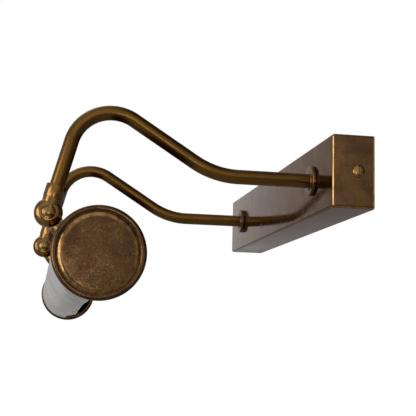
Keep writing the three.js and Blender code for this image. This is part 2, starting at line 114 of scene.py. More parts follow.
def vector_maths(tree, operation, *values):
    """One Vector Math node on its values."""
    node = add_node(tree, "ShaderNodeVectorMath", operation=operation)
    for socket, value in zip(node.inputs, values):
        feed(tree, socket, value)
    return node.outputs


def smooth_step(tree, value, low, high):
    """0 below low, 1 above high, and a soft rise between them."""
    node = add_node(tree, "ShaderNodeMapRange", interpolation_type="SMOOTHSTEP")
    feed(tree, node.inputs["Value"], value)
    feed(tree, node.inputs["From Min"], low)
    feed(tree, node.inputs["From Max"], high)
    return node.outputs["Result"]


def mix_colours(tree, amount, first, second):
    """The first colour where amount is 0 and the second where it is 1."""
    node = add_node(tree, "ShaderNodeMix", data_type="RGBA")
    feed(tree, node.inputs["Factor"], amount)
    feed(tree, node.inputs["A"], first)
    feed(tree, node.inputs["B"], second)
    return node.outputs["Result"]


def between(tree, amount, low, high):
    """A number that goes from low to high as amount goes from 0 to 1."""
    node = add_node(tree, "ShaderNodeMix", data_type="FLOAT")
    feed(tree, node.inputs["Factor"], amount)
    feed(tree, node.inputs["A"], low)
    feed(tree, node.inputs["B"], high)
    return node.outputs["Result"]


def noise(tree, place, scale, detail=2.0, roughness=0.5):
    """A noise texture's level on the given coordinates."""
    node = add_node(tree, "ShaderNodeTexNoise")
    feed(tree, node.inputs["Vector"], place)
    feed(tree, node.inputs["Scale"], scale)
    node.inputs["Detail"].default_value = detail
    node.inputs["Roughness"].default_value = roughness
    return node.outputs[0]


paper = bpy.data.materials.new("studio_paper")
paper.use_nodes = True
paper_shader = paper.node_tree.nodes["Principled BSDF"]
paper_shader.inputs["Base Color"].default_value = (0.5, 0.5, 0.5, 1)
paper_shader.inputs["Roughness"].default_value = 0.9
paper_shader.inputs["Emission Color"].default_value = (1, 1, 1, 1)
paper_glow_mirrored = 0.02
paper_glow_seen = 1.0
tree = paper.node_tree
seen = add_node(tree, "ShaderNodeLightPath").outputs["Is Camera Ray"]
glow = between(tree, seen, paper_glow_mirrored, paper_glow_seen)
feed(tree, paper_shader.inputs["Emission Strength"], glow)
underside = add_node(tree, "ShaderNodeNewGeometry").outputs["Backfacing"]
feed(tree, paper_shader.inputs["Alpha"], calculate(tree, "SUBTRACT", 1, underside))
floor_mesh.materials.append(paper)

wall_side_level = 0.12
room_side_level = 0.66
low_down_share = 0.4
glow_direction = (0.97, -0.1, 0.2)
glow_level = 0.6

surround = bpy.data.worlds.new("surround")
surround.use_nodes = True
scene.world = surround
sky = surround.node_tree
sky.nodes.clear()
sky_direction = add_node(sky, "ShaderNodeTexCoord").outputs["Generated"]
sky_axes = add_node(sky, "ShaderNodeSeparateXYZ")
sky.links.new(sky_direction, sky_axes.inputs[0])
room_side = smooth_step(sky, sky_axes.outputs["Y"], 0.42, 0.0)
side_level = between(sky, room_side, wall_side_level, room_side_level)
above_ground = smooth_step(sky, sky_axes.outputs["Z"], -0.85, -0.15)
height_share = between(sky, above_ground, low_down_share, 1.0)
towards_glow = vector_maths(sky, "DOT_PRODUCT", sky_direction, glow_direction)["Value"]
glow = calculate(sky, "MULTIPLY", smooth_step(sky, towards_glow, 0.4, 1.0), glow_level)
mirrored_level = calculate(sky, "MULTIPLY_ADD", side_level, height_share, glow)
sky_mirrored = add_node(sky, "ShaderNodeBackground")
sky.links.new(mirrored_level, sky_mirrored.inputs["Strength"])
sky_seen = add_node(sky, "ShaderNodeBackground")
sky_seen.inputs["Color"].default_value = (1, 1, 1, 1)
sky_mix = add_node(sky, "ShaderNodeMixShader")
sky.links.new(add_node(sky, "ShaderNodeLightPath").outputs["Is Camera Ray"], sky_mix.inputs["Fac"])
sky.links.new(sky_mirrored.outputs["Background"], sky_mix.inputs[1])
sky.links.new(sky_seen.outputs["Background"], sky_mix.inputs[2])
sky.links.new(sky_mix.outputs["Shader"], add_node(sky, "ShaderNodeOutputWorld").inputs["Surface"])

object_middle = (0, -0.14, -0.03)
for softbox, place, width, height, power in (
    ("left_light", (1.0, -2.1, 0.15), 1.1, 1.5, 20),
    ("rim_light", (1.9, -1.7, -0.25), 0.5, 1.3, 8),
    ("front_light", (2.6, -0.32, -0.24), 0.35, 0.5, 2.2),
    ("back_light", (-0.5, -0.9, 1.7), 1.2, 0.8, 2),
):
    light = bpy.data.lights.new(softbox, "AREA")
    light.shape = "RECTANGLE"
    light.size = width
    light.size_y = height
    light.energy = power
    lamp_stand = bpy.data.objects.new(softbox, light)
    lamp_stand.visible_camera = False
    lamp_stand.matrix_world = aimed(place, object_middle)
    scene.collection.objects.link(lamp_stand)

# ------------------------------------------------------------------------------------------------
# The wall bracket is a zinc plated steel strap with two turned ears. It is screwed to the wall
# through its keyholes and carries everything else. The arms' washers are plated the same way.


def new_group(name, inputs, outputs):
    """A shader node group; returns its tree, what comes in and where its results go."""
    tree = bpy.data.node_groups.new(name, "ShaderNodeTree")
    for label, value in inputs.items():
        kind = {4: "Color", 3: "Vector"}[len(value)] if isinstance(value, tuple) else "Float"
        socket = tree.interface.new_socket(label, in_out="INPUT", socket_type=f"NodeSocket{kind}")
        socket.default_value = value
    for label, kind in outputs.items():
        tree.interface.new_socket(label, in_out="OUTPUT", socket_type=f"NodeSocket{kind}")
    return tree, add_node(tree, "NodeGroupInput").outputs, add_node(tree, "NodeGroupOutput").inputs


def object_place(tree):
    """Object coordinates."""
    return add_node(tree, "ShaderNodeTexCoord").outputs["Object"]


def stretched_place(tree, scale, turn=(0, 0, 0), place=None):
    """Coordinates turned and then scaled by a different amount each way."""
    node = add_node(tree, "ShaderNodeMapping", vector_type="TEXTURE")
    node.inputs["Rotation"].default_value = turn
    node.inputs["Scale"].default_value = [1 / factor for factor in scale]
    feed(tree, node.inputs["Vector"], place or object_place(tree))
    return node.outputs[0]


def make_brush_lines():
    """Fine parallel lines that run along Z or along X, from rolling or brushing the sheet."""
    results = {"Fine": "Float", "Broad": "Float"}
    tree, inside, outside = new_group("brush_lines", {"Along X": 0.0}, results)
    choice = inside["Along X"]
    for label, across, along in (("Fine", 2600, 45), ("Broad", 420, 14)):
        upright = noise(tree, stretched_place(tree, (across, across, along)), 1, 2)
        lengthwise = noise(tree, stretched_place(tree, (along, across, across)), 1, 2)
        feed(tree, outside[label], between(tree, choice, upright, lengthwise))
    return tree


brush_lines = make_brush_lines()


def start_material(name, metallic=0.0):
    """A new material, its tree and its Principled shader."""
    material = bpy.data.materials.new(name)
    material.use_nodes = True
    shader = material.node_tree.nodes["Principled BSDF"]
    shader.inputs["Metallic"].default_value = metallic
    return material, material.node_tree, shader


def use_group(tree, group, **values):
    """Places a node group in a material with its own values and returns its outputs."""
    node = add_node(tree, "ShaderNodeGroup", node_tree=group)
    for label, value in values.items():
        feed(tree, node.inputs[label.replace("_", " ").title()], value)
    return node.outputs


def raise_surface(tree, shader, height, distance):
    """Feeds a height through a Bump node to the shader's normal."""
    bump = add_node(tree, "ShaderNodeBump")
    bump.inputs["Distance"].default_value = distance
    feed(tree, bump.inputs["Height"], height)
    feed(tree, shader.inputs["Normal"], bump.outputs["Normal"])


def paint(tree, shader, amount, first, second):
    """Gives a shader the first colour where amount is 0 and the second where it is 1."""
    feed(tree, shader.inputs["Base Color"], mix_colours(tree, amount, first, second))


zinc_plate, tree, shader = start_material("zinc_plate", metallic=1.0)
rolled = use_group(tree, brush_lines, along_x=1.0)
cloud = smooth_step(tree, noise(tree, object_place(tree), 60, 4), 0.35, 0.65)
spangle = smooth_step(tree, noise(tree, object_place(tree), 350), 0.45, 0.8)
plated = mix_colours(tree, cloud, (0.50, 0.52, 0.53, 1), (0.64, 0.62, 0.56, 1))
paint(tree, shader, spangle, plated, (0.38, 0.38, 0.39, 1))
feed(tree, shader.inputs["Roughness"], between(tree, rolled["Fine"], 0.24, 0.5))
raise_surface(tree, shader, rolled["Fine"], 0.00002)


def dress(names, material):
    """Gives carried-over CAD nodes their finish."""
    for name in names:
        materials = frame["nodes"][name].data.materials
        materials.clear()
        materials.append(material)


sides = {"right": 1, "left": -1}
dress(["wall_bracket", *(f"arm_washer_{side}" for side in sides)], zinc_plate)

# ------------------------------------------------------------------------------------------------
# On the bracket sit a rubber bush in the cable hole, a moulded terminal block, a brass earth stud
# with its nut, and the sheathed leads that run from the block into the arms.

bush_rubber, tree, shader = start_material("bush_rubber")
bloom = smooth_step(tree, noise(tree, object_place(tree), 240, 4), 0.45, 0.75)
paint(tree, shader, bloom, (0.012, 0.012, 0.012, 1), (0.045, 0.043, 0.04, 1))
feed(tree, shader.inputs["Roughness"], between(tree, bloom, 0.62, 0.85))
raise_surface(tree, shader, noise(tree, object_place(tree), 1500), 0.00005)
dress(["cable_grommet"], bush_rubber)

white_moulding, tree, shader = start_material("white_moulding")
flow = noise(tree, stretched_place(tree, (60, 240, 240)), 1, 3)
paint(tree, shader, flow, (0.72, 0.69, 0.61, 1), (0.86, 0.84, 0.78, 1))
feed(tree, shader.inputs["Roughness"], between(tree, flow, 0.28, 0.5))
raise_surface(tree, shader, noise(tree, object_place(tree), 900), 0.00003)
dress(["terminal_block"], white_moulding)

lead_sheath, tree, shader = start_material("lead_sheath")
handled = smooth_step(tree, noise(tree, object_place(tree), 130, 3), 0.4, 0.7)
paint(tree, shader, handled, (0.50, 0.41, 0.20, 1), (0.36, 0.29, 0.14, 1))
feed(tree, shader.inputs["Roughness"], between(tree, handled, 0.38, 0.6))
raise_surface(tree, shader, noise(tree, object_place(tree), 1100), 0.00003)
dress([f"wiring_lead_{side}" for side in sides], lead_sheath)

# Every brass piece is toned brown by hand. The toning is cloudy and finely mottled, from deep brown
# to amber, with thin crossed scratches and specks where the brass shows, and edges rubbed bright.


grain_scale = 620
speck_scale = 1500
scuff_scale = 90
scratch_slimness = 22
scratch_runs = (
    ((0.3, 0.2, 0.5), 75), ((1.2, 0.4, 0.9), 95), ((2.2, 0.9, 0.3), 80),
    ((0.8, 2.4, 1.7), 110), ((1.7, 1.3, 0.2), 90),
)
edge_radius = 0.0006


def make_toned_brass():
    """The toning's colour, roughness and height, from its colours and the share of each mark."""
    tree, inside, outside = new_group(
        "toned_brass",
        {
            "Place": (0.0, 0.0, 0.0),
            "Deep": (0.05, 0.03, 0.01, 1), "Main": (0.12, 0.07, 0.03, 1),
            "Amber": (0.2, 0.1, 0.03, 1), "Bare": (0.4, 0.25, 0.09, 1),
            "Cloud Scale": 40.0, "Contrast": 1.0, "Mottle": 0.3, "Scratches": 0.5,
            "Specks": 0.5, "Edge Wear": 0.6, "Smoothness": 0.3,
        },
        {"Color": "Color", "Roughness": "Float", "Height": "Float"},
    )
    place = inside["Place"]
    cloud = noise(tree, place, inside["Cloud Scale"], 5, 0.6)
    swing = calculate(tree, "MULTIPLY", calculate(tree, "SUBTRACT", cloud, 0.5), inside["Contrast"])
    level = calculate(tree, "ADD", swing, 0.5, clamp=True)
    colour = mix_colours(tree, smooth_step(tree, level, 0.3, 0.65), inside["Deep"], inside["Main"])
    patch_scale = calculate(tree, "MULTIPLY", inside["Cloud Scale"], 0.6)
    patches = smooth_step(tree, noise(tree, place, patch_scale, 4, 0.55), 0.5, 0.72)
    colour = mix_colours(tree, calculate(tree, "MULTIPLY", patches, 0.7), colour, inside["Amber"])
    grain = noise(tree, place, grain_scale, 3, 0.6)
    darker = calculate(tree, "MULTIPLY", smooth_step(tree, grain, 0.5, 0.7), inside["Mottle"])
    colour = mix_colours(tree, darker, colour, inside["Deep"])
    lighter = calculate(tree, "MULTIPLY", smooth_step(tree, grain, 0.48, 0.3), inside["Mottle"])
    colour = mix_colours(tree, calculate(tree, "MULTIPLY", lighter, 0.5), colour, inside["Bare"])

    lines = 0.0
    for turn, along in scratch_runs:
        across = along * scratch_slimness
        streak = noise(tree, stretched_place(tree, (along, across, across), turn, place), 1)
        lines = calculate(tree, "MAXIMUM", lines, smooth_step(tree, streak, 0.63, 0.75))
    scuffed = smooth_step(tree, noise(tree, place, scuff_scale, 2), 0.38, 0.6)
    scratched = calculate(tree, "MULTIPLY", scuffed, inside["Scratches"])
    lines = calculate(tree, "MULTIPLY", lines, scratched)
    specks = smooth_step(tree, noise(tree, place, speck_scale, 1), 0.66, 0.76)
    specks = calculate(tree, "MULTIPLY", specks, inside["Specks"])

    eased = add_node(tree, "ShaderNodeBevel", samples=8)
    eased.inputs["Radius"].default_value = edge_radius
    normal = add_node(tree, "ShaderNodeNewGeometry").outputs["Normal"]
    likeness = vector_maths(tree, "DOT_PRODUCT", eased.outputs[0], normal)["Value"]
    edge = smooth_step(tree, calculate(tree, "SUBTRACT", 1, likeness), 0.015, 0.12)
    edge = calculate(tree, "MULTIPLY", edge, inside["Edge Wear"])

    marks = calculate(tree, "MAXIMUM", lines, specks)
    bare = calculate(tree, "MAXIMUM", marks, edge, clamp=True)
    feed(tree, outside["Color"], mix_colours(tree, bare, colour, inside["Bare"]))
    dull = calculate(tree, "MULTIPLY", calculate(tree, "SUBTRACT", 0.5, level), 0.15)
    rough = calculate(tree, "ADD", inside["Smoothness"], dull)
    grainy = calculate(tree, "MULTIPLY", darker, 0.25)
    feed(tree, outside["Roughness"], calculate(tree, "ADD", rough, grainy, clamp=True))
    pitted = calculate(tree, "MULTIPLY", grain, 0.5)
    feed(tree, outside["Height"], calculate(tree, "SUBTRACT", pitted, marks))
    return tree


toned_brass = make_toned_brass()


def toned_metal(name, relief, follows=None, **values):
    """A toned brass finish with its own colours; relief is the height of its marks."""
    material, tree, shader = start_material(name, metallic=1.0)
    place = object_place(tree)
    if follows:
        place = add_node(tree, "ShaderNodeAttribute", attribute_name=follows).outputs["Vector"]
    toning = use_group(tree, toned_brass, place=place, **values)
    feed(tree, shader.inputs["Base Color"], toning["Color"])
    feed(tree, shader.inputs["Roughness"], toning["Roughness"])
    raise_surface(tree, shader, toning["Height"], relief)
    return material


fitting_brass = toned_metal(
    "fitting_brass", 0.000006, deep=(0.16, 0.085, 0.028, 1), main=(0.36, 0.205, 0.070, 1),
    amber=(0.42, 0.21, 0.06, 1), bare=(0.70, 0.48, 0.20, 1), cloud_scale=110.0, contrast=1.3,
    mottle=0.2, scratches=0.35, specks=0.2, edge_wear=0.6, smoothness=0.24,
)
dress(["earth_stud", "earth_nut"], fitting_brass)
dress([f"{nut}_{side}" for nut in ("arm_nut", "neck_nut") for side in sides], fitting_brass)

# ------------------------------------------------------------------------------------------------
# The box cover is folded from brass sheet, brushed up and down, toned brown and lacquered, so that
# it mirrors the arms. It is open at the wall and its folded edges are rounded, rubbed bright and
# lightened with a painted highlight.


def millimetres(*values):
    """A vector in metres from sizes in millimetres."""
    return Vector(values) / 1000


def corners(node):
    """A CAD node's lowest and highest corner."""
    return tuple(Vector(corner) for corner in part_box(node))


def add_piece(name, shape, material, body, replaces=(), sharp=32):
    """Makes an object of a finished shape. It rides on a body, in the place of CAD nodes."""
    bmesh.ops.remove_doubles(shape, verts=shape.verts, dist=1e-6)
    bmesh.ops.recalc_face_normals(shape, faces=shape.faces)
    mesh = bpy.data.meshes.new(name)
    shape.to_mesh(mesh)
    shape.free()
    mesh.shade_smooth()
    mesh.set_sharp_from_angle(angle=math.radians(sharp))
    mesh.materials.append(material)
    piece = bpy.data.objects.new(name, mesh)
    scene.collection.objects.link(piece)
    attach(piece, body)
    if replaces:
        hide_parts(*replaces)
    return piece


sheet = 0.0015
fold_radius = 0.0024
cover_low, cover_high = corners("wall_box_cover")
cover_size = cover_high - cover_low
cover_middle = (cover_low + cover_high) / 2

box_bronze, tree, shader = start_material("box_bronze", metallic=1.0)
toning = use_group(
    tree, toned_brass, place=object_place(tree),
    deep=(0.088, 0.045, 0.022, 1), main=(0.118, 0.064, 0.030, 1),
    amber=(0.185, 0.098, 0.020, 1), bare=(0.26, 0.155, 0.05, 1), cloud_scale=75.0, contrast=1.9,
    mottle=0.4, scratches=0.15, specks=0.25, edge_wear=0.0, smoothness=0.08,
)
brushed = use_group(tree, brush_lines, along_x=0.0)
shaded = mix_colours(tree, brushed["Broad"], (0.92, 0.91, 0.90, 1), (1.06, 1.06, 1.06, 1))
brushed_colour = add_node(tree, "ShaderNodeMix", data_type="RGBA", blend_type="MULTIPLY")
brushed_colour.inputs["Factor"].default_value = 1
feed(tree, brushed_colour.inputs["A"], toning["Color"])
feed(tree, brushed_colour.inputs["B"], shaded)

# A fold is lightened where two of the distances to the box's faces are small, most of all at the
# ends: partly rubbed brass, partly a painted highlight.
rubbed_and_highlit_brass = (0.46, 0.265, 0.10, 1)
wear_and_highlight_reach = 0.0017
wear_and_highlight_full = 0.0006
ends_from = 0.185
ends_full = 0.199
offset = vector_maths(tree, "SUBTRACT", object_place(tree), tuple(cover_middle))["Vector"]
from_middle = vector_maths(tree, "ABSOLUTE", offset)["Vector"]
past_face = vector_maths(tree, "SUBTRACT", from_middle, tuple(cover_size / 2))["Vector"]
face_axes = add_node(tree, "ShaderNodeSeparateXYZ")
feed(tree, face_axes.inputs[0], past_face)
to_fold = -1.0
for first, second in ("XY", "YZ", "XZ"):
    nearer = calculate(tree, "MINIMUM", face_axes.outputs[first], face_axes.outputs[second])
    to_fold = calculate(tree, "MAXIMUM", to_fold, nearer)
patches = smooth_step(tree, noise(tree, object_place(tree), 160, 3), 0.35, 0.65)
patchy = between(tree, patches, 0.45, 1.0)
along_box = add_node(tree, "ShaderNodeSeparateXYZ")
feed(tree, along_box.inputs[0], from_middle)
near_end = smooth_step(tree, along_box.outputs["X"], ends_from, ends_full)
fold_wear_and_highlight = calculate(tree, "MULTIPLY", smooth_step(tree, to_fold, -wear_and_highlight_reach, -wear_and_highlight_full), patchy)
fold_wear_and_highlight = calculate(tree, "MULTIPLY", fold_wear_and_highlight, between(tree, near_end, 0.3, 1.0))
# The folds' lighter colour is partly wear and partly a painted highlight on the rounded edges.
box_colour = mix_colours(tree, fold_wear_and_highlight, brushed_colour.outputs["Result"], rubbed_and_highlit_brass)
feed(tree, shader.inputs["Base Color"], box_colour)
box_roughness = calculate(tree, "MULTIPLY_ADD", brushed["Fine"], 0.04, toning["Roughness"])
feed(tree, shader.inputs["Roughness"], box_roughness)
shader.inputs["Specular Tint"].default_value = (1.0, 0.92, 0.90, 1)
raise_surface(tree, shader, brushed["Fine"], 0.000001)

cover = bmesh.new()
bmesh.ops.create_cube(cover, size=1)
bmesh.ops.scale(cover, verts=cover.verts, vec=cover_size)
bmesh.ops.translate(cover, verts=cover.verts, vec=cover_middle)
wall_face = max(cover.faces, key=lambda face: face.calc_center_median().y)
bmesh.ops.delete(cover, geom=[wall_face], context="FACES_ONLY")
folds = [edge for edge in cover.edges if not edge.is_boundary]
bmesh.ops.bevel(
    cover, geom=folds, offset=fold_radius, offset_type="OFFSET", segments=6, profile=0.5,
    affect="EDGES", material=-1,
)
bmesh.ops.recalc_face_normals(cover, faces=cover.faces)
bmesh.ops.solidify(cover, geom=cover.faces, thickness=sheet)
add_piece("box_cover", cover, box_bronze, "wall_arms", ["wall_box_cover"])

# ------------------------------------------------------------------------------------------------
# A round-headed slotted brass screw goes through each end of the cover into the bracket's ear. The
# head is turned, and its slot is sawn and has bright sides.


def of_kind(items, kind):
    """The vertices, edges or faces among an operator's results."""
    return [item for item in items if isinstance(item, getattr(bmesh.types, kind))]


def turn_profile(shape, profile, centre, axis, steps=64):
    """Turns a profile of (distance along the axis, radius) points in millimetres round an axis."""
    axis = Vector(axis).normalized()
    across = axis.orthogonal().normalized()
    line = [
        shape.verts.new(centre + (axis * along + across * radius) / 1000)
        for along, radius in profile
    ]
    edges = [shape.edges.new(pair) for pair in zip(line, line[1:])]
    bmesh.ops.spin(
        shape, geom=line + edges, cent=centre, axis=axis, angle=2 * math.pi, steps=steps,
        use_merge=True,
    )


def arc(along, radius, width, height, start, end, steps=6):
    """Profile points on an ellipse about (along, radius); angles in degrees from the axis."""
    turns = [math.radians(start + (end - start) * step / steps) for step in range(steps + 1)]
    return [(along + width * math.cos(turn), radius + height * math.sin(turn)) for turn in turns]


def join_part(shape, part):
    """Adds a finished bmesh to another one."""
    mesh = bpy.data.meshes.new("joined_part")
    part.to_mesh(mesh)
    part.free()
    shape.from_mesh(mesh)
    bpy.data.meshes.remove(mesh)


def slotted_head(shape, centre, axis, radius, rim, dome, slot_width, slot_depth, slot_along):
    """A domed screw head with a sawn slot. Sizes are in millimetres from the head's seat."""
    axis = Vector(axis).normalized()
    head = bmesh.new()
    outline = [(0, 0), (0, radius), (rim, radius), *arc(rim, 0, dome, radius, 88, 0, 8)]
    turn_profile(head, outline, centre, axis, 48)
    bmesh.ops.remove_doubles(head, verts=head.verts, dist=1e-6)
    across = axis.cross(Vector(slot_along)).normalized()
    for side in (-1, 1):
        bmesh.ops.bisect_plane(
            head, geom=[*head.verts, *head.edges, *head.faces], dist=1e-7,
            plane_co=centre + across * side * slot_width / 2000, plane_no=across,
        )
    floor_faces = []
    for face in head.faces:
        middle = face.calc_center_median() - centre
        sideways = abs(middle.dot(across)) * 1000
        outward = (middle - axis * middle.dot(axis)).length * 1000
        if sideways < slot_width / 2 and middle.dot(axis) * 1000 > rim and outward < 0.97 * radius:
            floor_faces.append(face)
    sunk = bmesh.ops.extrude_face_region(head, geom=floor_faces)["geom"]
    bmesh.ops.delete(head, geom=floor_faces, context="FACES_ONLY")
    bmesh.ops.translate(head, verts=of_kind(sunk, "BMVert"), vec=-axis * slot_depth / 1000)
    join_part(shape, head)


def plain_shank(shape, centre, axis, length, radius, into_head):
    """A screw's shank, from its end to just inside the head."""
    outline = [(-length, 0), (-length, radius), (into_head, radius), (into_head, 0)]
    turn_profile(shape, outline, centre, axis, 24)


screw_brass = toned_metal(
    "screw_brass", 0.000005, deep=(0.14, 0.078, 0.026, 1), main=(0.30, 0.175, 0.060, 1),
    amber=(0.36, 0.185, 0.050, 1), bare=(0.66, 0.46, 0.19, 1), cloud_scale=160.0, contrast=1.3,
    mottle=0.2, scratches=0.3, specks=0.15, edge_wear=0.7, smoothness=0.2,
)
for side, sign in sides.items():
    node = f"end_screw_{side}"
    low, high = corners(node)
    middle = (low + high) / 2
    seat = Vector((sign * cover_size.x / 2, middle.y, middle.z))
    screw = bmesh.new()
    slotted_head(
        screw, seat, (sign, 0, 0), radius=5.2, rim=0.5, dome=1.7, slot_width=1.9, slot_depth=1.3,
        slot_along=(0, 0.08, 1),
    )
    plain_shank(screw, seat, (sign, 0, 0), length=10, radius=2.4, into_head=0.1)
    add_piece(f"cover_screw_{side}", screw, screw_brass, "wall_arms", [node])

# ------------------------------------------------------------------------------------------------
# Each arm is one brass tube, bent twice on a former, toned dark and rubbed along its length. It
# goes through a turned flange that is seated on the box's front face.

arm_bronze = toned_metal(
    "arm_bronze", 0.000002, follows="straight_place", deep=(0.105, 0.051, 0.014, 1),
    main=(0.150, 0.073, 0.016, 1), amber=(0.180, 0.082, 0.014, 1), bare=(0.28, 0.17, 0.045, 1),
    cloud_scale=130.0, contrast=1.1, mottle=0.15, scratches=0.1, specks=0.0, edge_wear=0.0,
    smoothness=0.22,
)
tube_radius = 0.00635
tube_start = -0.024
run = 0.0797
rise_radius, rise_angle = 0.0746, math.radians(31.9)
slope = 0.0619
crook_radius, crook_angle = 0.0352, math.radians(107.1)
drop_in_ferrule = 0.0500


def grow(shape, ring, step):
    """Draws a ring of edges out in a straight line and returns the new ring."""
    grown = bmesh.ops.extrude_edge_only(shape, edges=ring)["geom"]
    verts = of_kind(grown, "BMVert")
    bmesh.ops.translate(shape, verts=verts, vec=step)
    return [edge for edge in of_kind(grown, "BMEdge") if all(vert in verts for vert in edge.verts)]


def ring_centre(ring):
    """The middle of a ring of edges."""
    verts = {vert for edge in ring for vert in edge.verts}
    return sum((vert.co for vert in verts), Vector()) / len(verts)


def bend(shape, ring, heading, radius, angle, steps):
    """Spins a ring of edges round a former. A positive angle lifts the heading."""
    side = Vector((0, heading.z, -heading.y)) * math.copysign(1, angle)
    former = ring_centre(ring) + side * radius
    ring_verts = {vert for edge in ring for vert in edge.verts}
    swept = bmesh.ops.spin(
        shape, geom=[*ring_verts, *ring], cent=former, axis=(1, 0, 0), angle=-angle, steps=steps,
    )["geom_last"]
    heading.rotate(Matrix.Rotation(-angle, 3, "X"))
    return of_kind(swept, "BMEdge")


def mark_straight_place(shape, shrink):
    """Notes each point's place on the straight tube, shrunk lengthwise, so marks run along it."""
    layer = shape.verts.layers.float_vector.new("straight_place")
    shape.verts.ensure_lookup_table()
    first_ring = [vert.co.copy() for vert in shape.verts[:tube_sides]]
    past = sum(first_ring, Vector()) / tube_sides
    along = 0.0
    for number in range(0, len(shape.verts), tube_sides):
        ring_verts = shape.verts[number:number + tube_sides]
        middle = sum((vert.co for vert in ring_verts), Vector()) / tube_sides
        along += (middle - past).length
        past = middle
        for vert, spot in zip(ring_verts, first_ring):
            vert[layer] = (spot.x, along * shrink, spot.z)


tube_sides = 48
streak_shrink = 0.16
for side in sides:
    node = f"arm_tube_{side}"
    low, high = corners(node)
    heading = Vector((0, -1, 0))
    tube = bmesh.new()
    tube_end = Matrix.Translation(((low.x + high.x) / 2, tube_start, 0))
    upright = Matrix.Rotation(math.pi / 2, 4, "X")
    bmesh.ops.create_circle(
        tube, segments=tube_sides, radius=tube_radius, matrix=tube_end @ upright,
    )
    ring = tube.edges[:]
    ring = grow(tube, ring, heading * run)
    ring = bend(tube, ring, heading, rise_radius, rise_angle, 16)
    ring = grow(tube, ring, heading * slope)
    ring = bend(tube, ring, heading, crook_radius, -crook_angle, 40)
    ring = grow(tube, ring, heading * drop_in_ferrule)
    mark_straight_place(tube, streak_shrink)
    bmesh.ops.holes_fill(tube, edges=[edge for edge in tube.edges if edge.is_boundary], sides=0)
    add_piece(f"bent_arm_{side}", tube, arm_bronze, "wall_arms", [node])

flange_bronze = toned_metal(
    "flange_bronze", 0.000004, deep=(0.080, 0.042, 0.016, 1), main=(0.145, 0.074, 0.025, 1),
    amber=(0.20, 0.095, 0.026, 1), bare=(0.40, 0.23, 0.08, 1), cloud_scale=90.0, contrast=1.2,
    mottle=0.2, scratches=0.2, specks=0.15, edge_wear=0.7, smoothness=0.22,
)
flange_bore = 6.4
boss_radius = 8.4
boss_rise = 0.7
for side in sides:
    node = f"arm_collar_{side}"
    low, high = corners(node)
    flange_radius = (high.z - low.z) * 500
    thickness = (high.y - low.y) * 1000
    seat = Vector(((low.x + high.x) / 2, high.y, (low.z + high.z) / 2))
    flange = bmesh.new()
    turn_profile(flange, [
        (0, flange_bore), (0, flange_radius - 0.4), (0.4, flange_radius),
        *arc(thickness - 1, flange_radius - 1, 1, 1, 90, 0), (thickness, boss_radius),
        *arc(thickness, boss_radius - 0.8, boss_rise, 0.8, 90, 0, 3),
        (thickness + boss_rise, flange_bore), (0, flange_bore),
    ], seat, (0, -1, 0), 72)
    add_piece(f"box_flange_{side}", flange, flange_bronze, "wall_arms", [node])

# ------------------------------------------------------------------------------------------------
# Each knuckle is a flattened brass ball split across: one half has a ferrule for the arm's end and
# the other a neck and a foot on the shade. A brown fibre washer lies between the halves, and a
# slotted screw clamps them, so the shade stays where it is tilted.

knuckle_brass = toned_metal(
    "knuckle_brass", 0.000002, deep=(0.125, 0.064, 0.024, 1), main=(0.215, 0.115, 0.038, 1),
    amber=(0.29, 0.145, 0.040, 1), bare=(0.46, 0.28, 0.10, 1), cloud_scale=120.0, contrast=1.2,
    mottle=0.12, scratches=0.15, specks=0.05, edge_wear=0.5, smoothness=0.15,
)
washer_fibre, tree, shader = start_material("washer_fibre")
fibres = noise(tree, stretched_place(tree, (300, 1500, 1500)), 1, 3)
paint(tree, shader, fibres, (0.07, 0.035, 0.018, 1), (0.17, 0.09, 0.05, 1))
feed(tree, shader.inputs["Roughness"], between(tree, fibres, 0.65, 0.9))
raise_surface(tree, shader, fibres, 0.00004)
dress([f"friction_washer_{side}" for side in sides], washer_fibre)

tilt = frame["joints"][0]
pivot = Vector(tilt["pos_m"])
ball_radius = 12.0
ball_half = 8.0
belt_half = 2.2
flat_radius = 6.2
split = 0.6
clear_of_ball = 12.6
web_top = 13.6
ferrule_radius = 8.8
ferrule_top = 23.9
ferrule_bore = 6.6
ferrule_floor = 20
neck_radius = 6.9
foot_radius = 10
foot_sunk = 1.6
stem_radius = 4.5
stem_length = 10
arm_direction = -heading
shade_low, shade_high = corners("end_cap_right")
shade_axis = Vector((0, (shade_low.y + shade_high.y) / 2, (shade_low.z + shade_high.z) / 2))
to_axis = Vector((0, shade_axis.y - pivot.y, shade_axis.z - pivot.z))
stem_direction = to_axis.normalized()
shade_radius = 31.5
shade_surface = to_axis.length * 1000 - shade_radius


def ball_half_profile(sign):
    """Half of the flattened ball, from the split to its flat outer face."""
    width = ball_half - belt_half
    height = ball_radius - flat_radius
    points = [
        (split, 0), (split, ball_radius - 0.5), (split + 0.5, ball_radius),
        *arc(belt_half, flat_radius, width, height, 90, 0, 10), (ball_half, 0),
    ]
    return [(sign * along, radius) for along, radius in points]


def web(shape, centre, sign, direction, radius):
    """The root of a ferrule or neck: a round post kept to its own side of the split."""
    post = bmesh.new()
    outline = [(2, 0), (2, radius), (web_top, radius), (web_top, 0)]
    turn_profile(post, outline, centre, direction, 40)
    bmesh.ops.remove_doubles(post, verts=post.verts, dist=1e-6)
    cut = bmesh.ops.bisect_plane(
        post, geom=[*post.verts, *post.edges, *post.faces], dist=1e-7,
        plane_co=centre + millimetres(sign * split, 0, 0), plane_no=(-sign, 0, 0), clear_outer=True,
    )["geom_cut"]
    bmesh.ops.edgeloop_fill(post, edges=of_kind(cut, "BMEdge"))
    join_part(shape, post)


